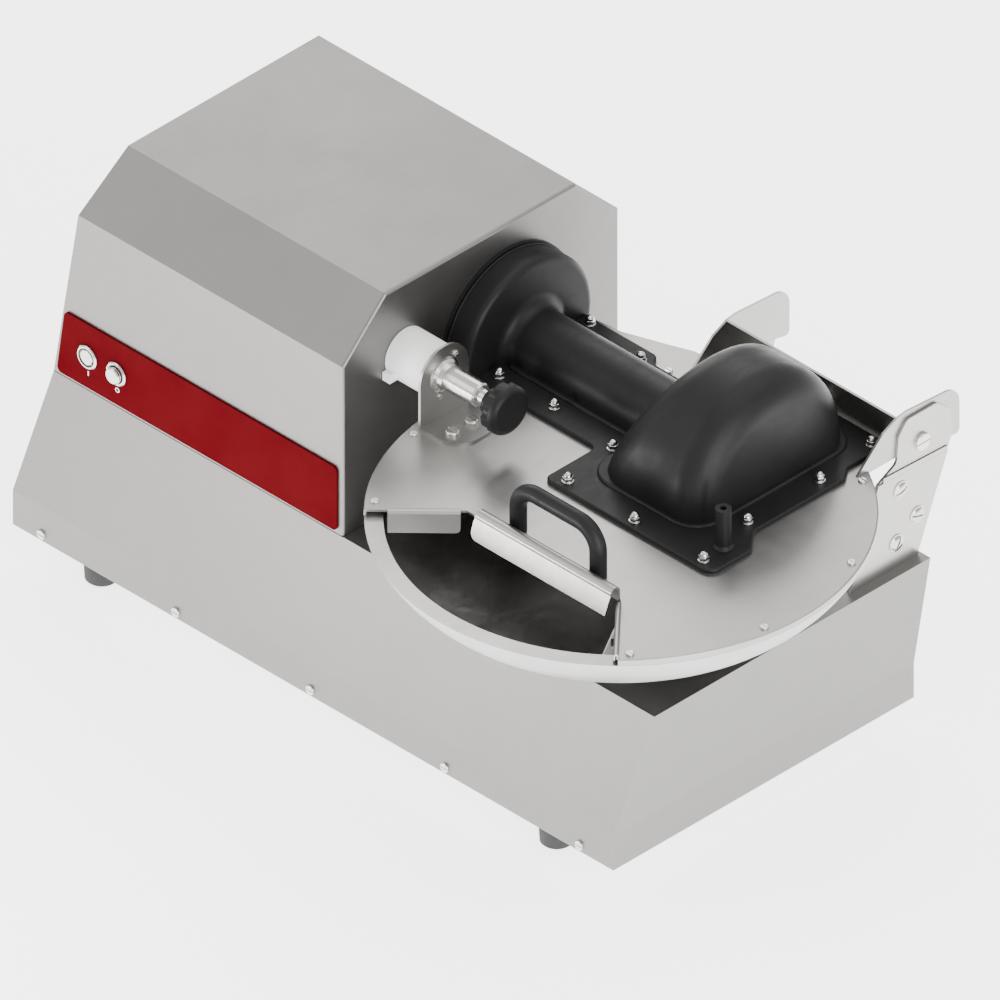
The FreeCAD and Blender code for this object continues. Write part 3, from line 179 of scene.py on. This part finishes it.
def makeTurnedRings():
    # fine circles about X of the vector that goes in
    group, start, end = newGroup("turnedRings", [("Vector", "NodeSocketVector", None),
                                                 ("Fineness", "NodeSocketFloat", 1500.0)],
                                 [("Tone", "NodeSocketFloat")])
    parts = addNode(group, "ShaderNodeSeparateXYZ", i0=start.outputs["Vector"]).outputs
    deepSquare = addMath(group, "MULTIPLY", parts[2], parts[2])
    squares = addMath(group, "MULTIPLY_ADD", parts[1], parts[1], deepSquare)
    reach = addMath(group, "SQRT", squares)
    place = addNode(group, "ShaderNodeCombineXYZ", X=reach, Y=parts[0]).outputs[0]
    rings = addNode(group, "ShaderNodeTexNoise", Vector=place, Scale=start.outputs["Fineness"], Detail=3.0)
    group.links.new(rings.outputs["Fac"], end.inputs["Tone"])
    return group


def makeMouldGrain():
    # the fine leathery texture of a moulded plastic skin
    group, start, end = newGroup("mouldGrain", [("Vector", "NodeSocketVector", None),
                                                ("Fineness", "NodeSocketFloat", 900.0)],
                                 [("Height", "NodeSocketFloat"), ("Cloud", "NodeSocketFloat")])
    cells = addNode(group, "ShaderNodeTexVoronoi", Vector=start.outputs["Vector"],
                    Scale=start.outputs["Fineness"])
    noise = addNode(group, "ShaderNodeTexNoise", Vector=start.outputs["Vector"],
                    Scale=addMath(group, "MULTIPLY", start.outputs["Fineness"], 0.7), Detail=2.0)
    height = addMath(group, "MULTIPLY_ADD", cells.outputs["Distance"], 0.6, noise.outputs["Fac"])
    cloud = addNode(group, "ShaderNodeTexNoise", Vector=start.outputs["Vector"], Scale=14.0, Detail=4.0)
    group.links.new(height, end.inputs["Height"])
    group.links.new(cloud.outputs["Fac"], end.inputs["Cloud"])
    return group


effects = {"brushed": makeBrushedGrain(), "handling": makeHandling(), "rings": makeTurnedRings(),
           "mould": makeMouldGrain()}


def useEffect(tree, name, **inputs):
    node = tree.nodes.new("ShaderNodeGroup")
    node.node_tree = effects[name]
    for label, value in inputs.items():
        if isinstance(value, bpy.types.NodeSocket):
            tree.links.new(value, node.inputs[label])
        else:
            node.inputs[label].default_value = value
    return node.outputs


# materials
def startMaterial(name, metallic, roughness, anisotropic=0.0):
    material = bpy.data.materials.new(name)
    material.use_nodes = True
    tree = material.node_tree
    shader = tree.nodes["Principled BSDF"]
    for label, value in (("Metallic", metallic), ("Roughness", roughness), ("Anisotropic", anisotropic)):
        shader.inputs[label].default_value = value
    place = tree.nodes.new("ShaderNodeTexCoord").outputs["Object"]
    return material, tree, shader, place


def addBump(tree, shader, height, strength, distance):
    bump = addNode(tree, "ShaderNodeBump", Strength=strength, Distance=distance, Height=height)
    tree.links.new(bump.outputs[0], shader.inputs["Normal"])


def setRoughness(tree, shader, mask, low, high):
    span = addNode(tree, "ShaderNodeMapRange", i0=mask, i3=low, i4=high)
    tree.links.new(span.outputs[0], shader.inputs["Roughness"])


def centred(tree, place, centre=(0, 0, 0), turn=(0, 0, 0)):
    # move the pattern's middle to a place on the machine, then turn it
    moved = addNode(tree, "ShaderNodeVectorMath", {"operation": "SUBTRACT"}, i0=place)
    moved.inputs[1].default_value = centre
    turned = addNode(tree, "ShaderNodeMapping", Vector=moved.outputs[0], Rotation=turn)
    return turned.outputs[0]


def satinSteel(name, colour, roughness, turn=(0, 0, 0), fineness=900.0, spread=0.07):
    material, tree, shader, place = startMaterial(name, 1.0, roughness, anisotropic=0.35)
    grain = useEffect(tree, "brushed", Vector=centred(tree, place, turn=turn), Fineness=fineness)
    marks = useEffect(tree, "handling", Vector=place, Size=7.0)
    dark = tuple(channel * 0.90 for channel in colour)
    light = tuple(min(channel * 1.07, 1.0) for channel in colour)
    base = addMix(tree, grain["Tone"], (*dark, 1), (*light, 1))
    worn = addMix(tree, addMath(tree, "MULTIPLY", marks["Mask"], 0.10), base, (*dark, 1))
    tree.links.new(worn, shader.inputs["Base Color"])
    rough = addMath(tree, "MULTIPLY_ADD", marks["Mask"], 0.25, addMath(tree, "MULTIPLY", grain["Tone"], 0.75))
    setRoughness(tree, shader, rough, roughness - spread, roughness + spread)
    addBump(tree, shader, grain["Height"], 0.05, 0.0002)
    return material


def turnedMetal(name, colour, roughness, centre, turn=(0, 0, 0), fineness=1500.0, bump=0.08):
    material, tree, shader, place = startMaterial(name, 1.0, roughness, anisotropic=0.2)
    rings = useEffect(tree, "rings", Vector=centred(tree, place, centre, turn), Fineness=fineness)
    marks = useEffect(tree, "handling", Vector=place, Size=16.0)
    dark = tuple(channel * 0.82 for channel in colour)
    base = addMix(tree, rings["Tone"], (*dark, 1), (*colour, 1))
    tree.links.new(base, shader.inputs["Base Color"])
    setRoughness(tree, shader, marks["Mask"], roughness - 0.05, roughness + 0.08)
    addBump(tree, shader, rings["Tone"], bump, 0.0002)
    return material


def mouldedPlastic(name, colour, roughness, fineness=1100.0, bump=0.12, specular=0.5):
    material, tree, shader, place = startMaterial(name, 0.0, roughness)
    shader.inputs["Specular IOR Level"].default_value = specular
    skin = useEffect(tree, "mould", Vector=place, Fineness=fineness)
    marks = useEffect(tree, "handling", Vector=place, Size=12.0)
    pale = tuple(min(channel * 1.35 + 0.004, 1.0) for channel in colour)
    base = addMix(tree, skin["Cloud"], (*colour, 1), (*pale, 1))
    tree.links.new(base, shader.inputs["Base Color"])
    setRoughness(tree, shader, marks["Mask"], roughness - 0.04, roughness + 0.09)
    addBump(tree, shader, skin["Height"], bump, 0.0003)
    return material


def castMetal(name, colour, roughness):
    material, tree, shader, place = startMaterial(name, 0.85, roughness)
    skin = useEffect(tree, "mould", Vector=place, Fineness=420.0)
    dark = tuple(channel * 0.75 for channel in colour)
    tree.links.new(addMix(tree, skin["Cloud"], (*dark, 1), (*colour, 1)), shader.inputs["Base Color"])
    addBump(tree, shader, skin["Height"], 0.35, 0.0006)
    return material


def floorPaint(colour, glow):
    material, _, shader, _ = startMaterial("floorPaint", 0.0, 0.7)
    shader.inputs["Base Color"].default_value = (*colour, 1)
    shader.inputs["Emission Color"].default_value = (1, 1, 1, 1)
    shader.inputs["Emission Strength"].default_value = glow
    return material


bowlCentre = (0.236, -0.048, 0.0)
upright = (0, math.radians(90), 0)
sideways = (0, 0, math.radians(90))
finishes = {
    "housingSteel": satinSteel("housingSteel", (0.21, 0.2058, 0.2011), 0.42, fineness=700.0),
    "zincPlate": satinSteel("zincPlate", (0.40, 0.40, 0.39), 0.5, fineness=300.0),
    "lidSteel": satinSteel("lidSteel", (0.37, 0.365, 0.357), 0.37, fineness=1000.0, spread=0.09),
    "supportSteel": satinSteel("supportSteel", (0.42, 0.412, 0.40), 0.36, turn=upright),
    "fastenerSteel": satinSteel("fastenerSteel", (0.66, 0.65, 0.62), 0.24, fineness=1500.0),
    "brightSteel": satinSteel("brightSteel", (0.54, 0.53, 0.515), 0.13, fineness=1500.0),
    "knifeSteel": satinSteel("knifeSteel", (0.66, 0.66, 0.66), 0.2, turn=sideways),
    "bowlSteel": turnedMetal("bowlSteel", (0.54, 0.536, 0.529), 0.44, bowlCentre, upright, fineness=900.0,
                             bump=0.03),
    "spindleSteel": turnedMetal("spindleSteel", (0.58, 0.58, 0.57), 0.3, bowlCentre, upright),
    "shaftSteel": turnedMetal("shaftSteel", (0.60, 0.60, 0.59), 0.26, (0, 0.085, 0.368)),
    "lockSteel": turnedMetal("lockSteel", (0.62, 0.61, 0.59), 0.24, (0, -0.0573, 0.405)),
    "motorSteel": turnedMetal("motorSteel", (0.56, 0.56, 0.55), 0.3, (0, -0.039, 0.308)),
    "wormSteel": turnedMetal("wormSteel", (0.56, 0.56, 0.55), 0.3, (0, 0.014, 0.138)),
    "buttonMetal": turnedMetal("buttonMetal", (0.72, 0.71, 0.69), 0.16, (-0.4, 0, 0.2645), sideways),
    "bronze": turnedMetal("bronze", (0.50, 0.32, 0.13), 0.34, bowlCentre, upright),
    "castAlloy": castMetal("castAlloy", (0.42, 0.43, 0.44), 0.5),
    "blackPlastic": mouldedPlastic("blackPlastic", (0.0062, 0.0064, 0.0070), 0.42, bump=0.05, specular=0.17),
    "whitePlastic": mouldedPlastic("whitePlastic", (0.93, 0.93, 0.92), 0.38, bump=0.04),
    "rubber": mouldedPlastic("rubber", (0.018, 0.018, 0.018), 0.75, fineness=500.0, bump=0.3),
    "redPanel": mouldedPlastic("redPanel", (0.066, 0.0016, 0.0034), 0.5, fineness=500.0, bump=0.03,
                               specular=0.0),
}
finishOfNodes = {
    "housingSteel": ["base_shell", "housing_wrap", "housing_left_panel", "housing_right_wall"],
    "zincPlate": ["bottom_plate", "hinge_posts", "motor_mount", "control_box"],
    "lidSteel": ["lid_sheet", "lock_bracket"],
    "supportSteel": ["hinge_support_right", "hinge_support_left"],
    "fastenerSteel": ["skirt_screws", "hinge_pins", "hinge_screws", "cover_nuts", "lid_screws", "knife_nut",
                      "lock_spring"],
    "knifeSteel": ["knife_inner", "knife_middle", "knife_outer"],
    "bowlSteel": ["bowl"],
    "spindleSteel": ["bowl_spindle", "bowl_hub", "spindle_bearings"],
    "shaftSteel": ["knife_shaft", "knife_bearings"],
    "lockSteel": ["plunger_pin", "lock_sleeve"],
    "motorSteel": ["motor_shaft"],
    "wormSteel": ["worm_shaft"],
    "buttonMetal": ["on_button_bezel", "off_button_bezel", "on_button", "off_button"],
    "bronze": ["worm_wheel"],
    "castAlloy": ["shaft_boss", "rear_bearing_block", "motor_body", "worm_bearing_blocks", "gearbox_case",
                  "spindle_collar", "motor_pulley", "knife_pulley", "worm_pulley"],
    "blackPlastic": ["switch_blocks", "cable_gland", "shaft_ring", "knife_cover", "lid_handle", "star_knob"],
    "whitePlastic": ["lock_block", "plough", "bowl_knob"],
    "rubber": ["rubber_feet", "knife_belt", "worm_belt", "cover_gasket"],
    "redPanel": ["control_panel"],
}


def paint(thing, finish):
    thing.data.materials.clear()
    thing.data.materials.append(finishes[finish])


for finishName, members in finishOfNodes.items():
    for member in members:
        paint(nodes[member], finishName)
print("stage: finishes on the CAD nodes")


# modelling
def pick(thing):
    bpy.ops.object.select_all(action="DESELECT")
    thing.select_set(True)
    bpy.context.view_layer.objects.active = thing


def addPrimitive(kind, **settings):
    bpy.ops.object.select_all(action="DESELECT")
    getattr(bpy.ops.mesh, f"primitive_{kind}_add")(**settings)
    thing = bpy.context.object
    bpy.ops.object.transform_apply(location=True, rotation=True, scale=True)
    return thing


def sliceOff(thing, point, away):
    # keep what lies behind a plane and close the opening
    pick(thing)
    bpy.ops.object.mode_set(mode="EDIT")
    bpy.ops.mesh.select_all(action="SELECT")
    bpy.ops.mesh.bisect(plane_co=point, plane_no=away, use_fill=True, clear_outer=True)
    bpy.ops.object.mode_set(mode="OBJECT")
    return thing


def soften(thing, width, segments=2, angle=40):
    pick(thing)
    bevel = thing.modifiers.new("softEdge", "BEVEL")
    bevel.width = width
    bevel.segments = segments
    bevel.limit_method = "ANGLE"
    bevel.angle_limit = math.radians(angle)
    bpy.ops.object.modifier_apply(modifier="softEdge")
    return thing


def gather(things, name, finish, body, angle=35):
    bpy.ops.object.select_all(action="DESELECT")
    for thing in things:
        thing.select_set(True)
    whole = things[0]
    bpy.context.view_layer.objects.active = whole
    if len(things) > 1:
        bpy.ops.object.join()
    whole.name = name
    bpy.ops.object.mode_set(mode="EDIT")
    bpy.ops.mesh.select_all(action="SELECT")
    bpy.ops.mesh.remove_doubles(threshold=0.000001)
    bpy.ops.mesh.normals_make_consistent(inside=False)
    bpy.ops.object.mode_set(mode="OBJECT")
    bpy.context.scene.cursor.location = (0, 0, 0)
    bpy.ops.object.origin_set(type="ORIGIN_CURSOR")
    bpy.ops.object.shade_smooth_by_angle(angle=math.radians(angle))
    paint(whole, finish)
    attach(whole, body)
    return whole


# cap nuts around the moulded cover
capNut = {"seat": 0.358, "washer": (0.0064, 0.0012), "washerEdge": 0.0004, "hexagon": (0.0058, 0.0048),
          "hexagonEdge": 0.0005, "cap": 0.0047, "turnStep": 17,
          "places": [(-10.5, 26), (-10.5, 154), (66.5, 27), (70.5, 145), (158.5, 18), (166.5, -54),
                     (262.5, -55), (359.5, -54.5), (343.5, 23), (343.5, 125), (336.5, 206), (166, 209.6),
                     (250, 209.6)]}


def makeCapNuts(sizes):
    made = []
    for index, (x, y) in enumerate(sizes["places"]):
        x, y, z = x / 1000, y / 1000, sizes["seat"]
        radius, thick = sizes["washer"]
        made.append(soften(addPrimitive("cylinder", vertices=40, radius=radius, depth=thick,
                                        location=(x, y, z + thick / 2)), sizes["washerEdge"]))
        across, tall = sizes["hexagon"]
        z += thick
        turn = math.radians(sizes["turnStep"] * index)
        made.append(soften(addPrimitive("cylinder", vertices=6, radius=across, depth=tall,
                                        rotation=(0, 0, turn), location=(x, y, z + tall / 2)),
                           sizes["hexagonEdge"]))
        z += tall
        ball = addPrimitive("uv_sphere", segments=28, ring_count=16, radius=sizes["cap"], location=(x, y, z))
        made.append(sliceOff(ball, (x, y, z), (0, 0, -1)))
    nuts = gather(made, "capNuts", "brightSteel", "lid")
    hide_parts("cover_nuts")
    return nuts


# domed screws with a slot, on the hinge plates
domedScrew = {"radius": 0.0100, "rise": 0.0040, "slot": 0.0011, "slotEdge": 0.0002, "padShare": 0.3,
              "padEdge": 0.12, "domeReach": 0.9, "domeStart": 0.28,
              "places": [(217, 312, 20), (240, 270, -15), (211, 250, 60)], "rightFace": 0.3661,
              "leftFace": 0.1139}


def makeDomedScrew(sizes, place, side, turn):
    # the head points along X; the slot runs across it at the given turn
    radius, rise, slot = sizes["radius"], sizes["rise"], sizes["slot"]
    padRise, domeReach = rise * sizes["padShare"], radius * sizes["domeReach"]
    pad = addPrimitive("cylinder", vertices=48, radius=radius, depth=padRise, location=(0, 0, padRise / 2))
    soften(pad, rise * sizes["padEdge"])
    parts = [pad]
    for sign in (-1, 1):
        half = addPrimitive("uv_sphere", segments=40, ring_count=20, radius=1, location=(0, 0, 0),
                            scale=(domeReach, domeReach, rise))
        sliceOff(half, (0, 0, rise * sizes["domeStart"]), (0, 0, -1))
        sliceOff(half, (sign * slot, 0, 0), (-sign, 0, 0))
        parts.append(soften(half, sizes["slotEdge"], segments=1, angle=50))
    for part in parts:
        pick(part)
        part.rotation_euler = (0, 0, math.radians(turn))
        bpy.ops.object.transform_apply(location=False, rotation=True, scale=False)
        part.rotation_euler = (0, math.radians(90) * side, 0)
        part.location = place
        bpy.ops.object.transform_apply(location=True, rotation=True, scale=False)
    return parts


def makeHingeScrews(sizes):
    parts = []
    for side, face in ((1, sizes["rightFace"]), (-1, sizes["leftFace"])):
        for y, z, turn in sizes["places"]:
            parts += makeDomedScrew(sizes, (face, y / 1000, z / 1000), side, turn)
    screws = gather(parts, "domedScrews", "brightSteel", "base")
    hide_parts("hinge_screws")
    return screws


# start and stop marks, and a dark groove inside each push-button's bezel
buttonMarks = {"panelFace": -0.1470, "start": -0.4185, "stop": -0.3775, "rise": 0.2645, "drop": 0.0205,
               "bar": (0.0011, 0.0004, 0.0056), "loop": (0.0024, 0.0005), "groove": (0.0101, 0.0007),
               "grooveDepth": 0.0034}


def makePanelMarks(sizes):
    face, low = sizes["panelFace"], sizes["rise"] - sizes["drop"]
    bar = addPrimitive("cube", size=1, location=(sizes["start"], face, low), scale=sizes["bar"])
    reach, thick = sizes["loop"]
    loop = addPrimitive("torus", major_radius=reach, minor_radius=thick, major_segments=40, minor_segments=8,
                        location=(sizes["stop"], face, low), rotation=(math.radians(90), 0, 0))
    return gather([bar, loop], "panelMarks", "whitePlastic", "base")


def makeButtonGrooves(sizes):
    made = []
    reach, thick = sizes["groove"]
    front = sizes["panelFace"] - sizes["grooveDepth"]
    for x in (sizes["start"], sizes["stop"]):
        made.append(addPrimitive("torus", major_radius=reach, minor_radius=thick, major_segments=56,
                                 minor_segments=10, location=(x, front, sizes["rise"]),
                                 rotation=(math.radians(90), 0, 0)))
    return gather(made, "buttonGrooves", "blackPlastic", "base")


# the dark joint between the housing and the base
joint = {"front": -0.1445, "left": -0.4692, "right": -0.061, "rise": 0.2208, "rear": 0.246, "thick": 0.0009,
         "skin": 0.0005, "endGap": 0.004}


def makeJoint(sizes):
    width, depth = sizes["right"] - sizes["left"], sizes["rear"] - sizes["front"]
    front = addPrimitive("cube", size=1, scale=(width, sizes["skin"], sizes["thick"]),
                         location=((sizes["left"] + sizes["right"]) / 2, sizes["front"], sizes["rise"]))
    side = addPrimitive("cube", size=1, scale=(sizes["skin"], depth - sizes["endGap"], sizes["thick"]),
                        location=(sizes["right"], (sizes["front"] + sizes["rear"]) / 2, sizes["rise"]))
    return gather([front, side], "housingJoint", "rubber", "base")


# the small ramp where each hinge plate is set inwards; it follows the lower plate's sloping top edge
plateRamp = {"rightFace": 0.3646, "leftFace": 0.1154, "step": 0.00148, "front": 0.1930, "rear": 0.2835,
             "low": 0.3286, "height": 0.0062, "slope": 0.0408, "lead": 0.001}


def makePlateRamps(sizes):
    made = []
    low, height, step, slope = sizes["low"], sizes["height"], sizes["step"], sizes["slope"]
    lead = sizes["lead"]
    middle = (sizes["front"] + sizes["rear"]) / 2
    for face, side in ((sizes["rightFace"], 1), (sizes["leftFace"], -1)):
        ramp = addPrimitive("cube", size=1, scale=(step, sizes["rear"] - sizes["front"], height),
                            location=(face + side * step / 2, middle, low + height / 2),
                            rotation=(-math.atan(slope), 0, 0))
        sliceOff(ramp, (face + side * step, middle, low + lead),
                 (side * (height - lead), step * slope, step))
        made.append(ramp)
    return gather(made, "plateRamps", "supportSteel", "base")


# the moulded bead around the drum's end
coverCollar = {"centre": (0.085, 0.368), "place": -0.0545, "reach": 0.0904, "thick": 0.0011,
               "cutRise": 0.3545}


def makeCoverCollar(sizes):
    y, z = sizes["centre"]
    collar = addPrimitive("torus", major_radius=sizes["reach"], minor_radius=sizes["thick"],
                          major_segments=120, minor_segments=12, location=(sizes["place"], y, z),
                          rotation=(0, math.radians(90), 0))
    sliceOff(collar, (0, 0, sizes["cutRise"]), (0, 0, -1))
    return gather([collar], "coverCollar", "blackPlastic", "lid")


makeCapNuts(capNut)
makePlateRamps(plateRamp)
makeCoverCollar(coverCollar)
makeHingeScrews(domedScrew)
makePanelMarks(buttonMarks)
makeButtonGrooves(buttonMarks)
makeJoint(joint)
print("stage: pieces made here")

addCamera(cameraSetup)
addStudio(studio)
print("stage: camera and studio")
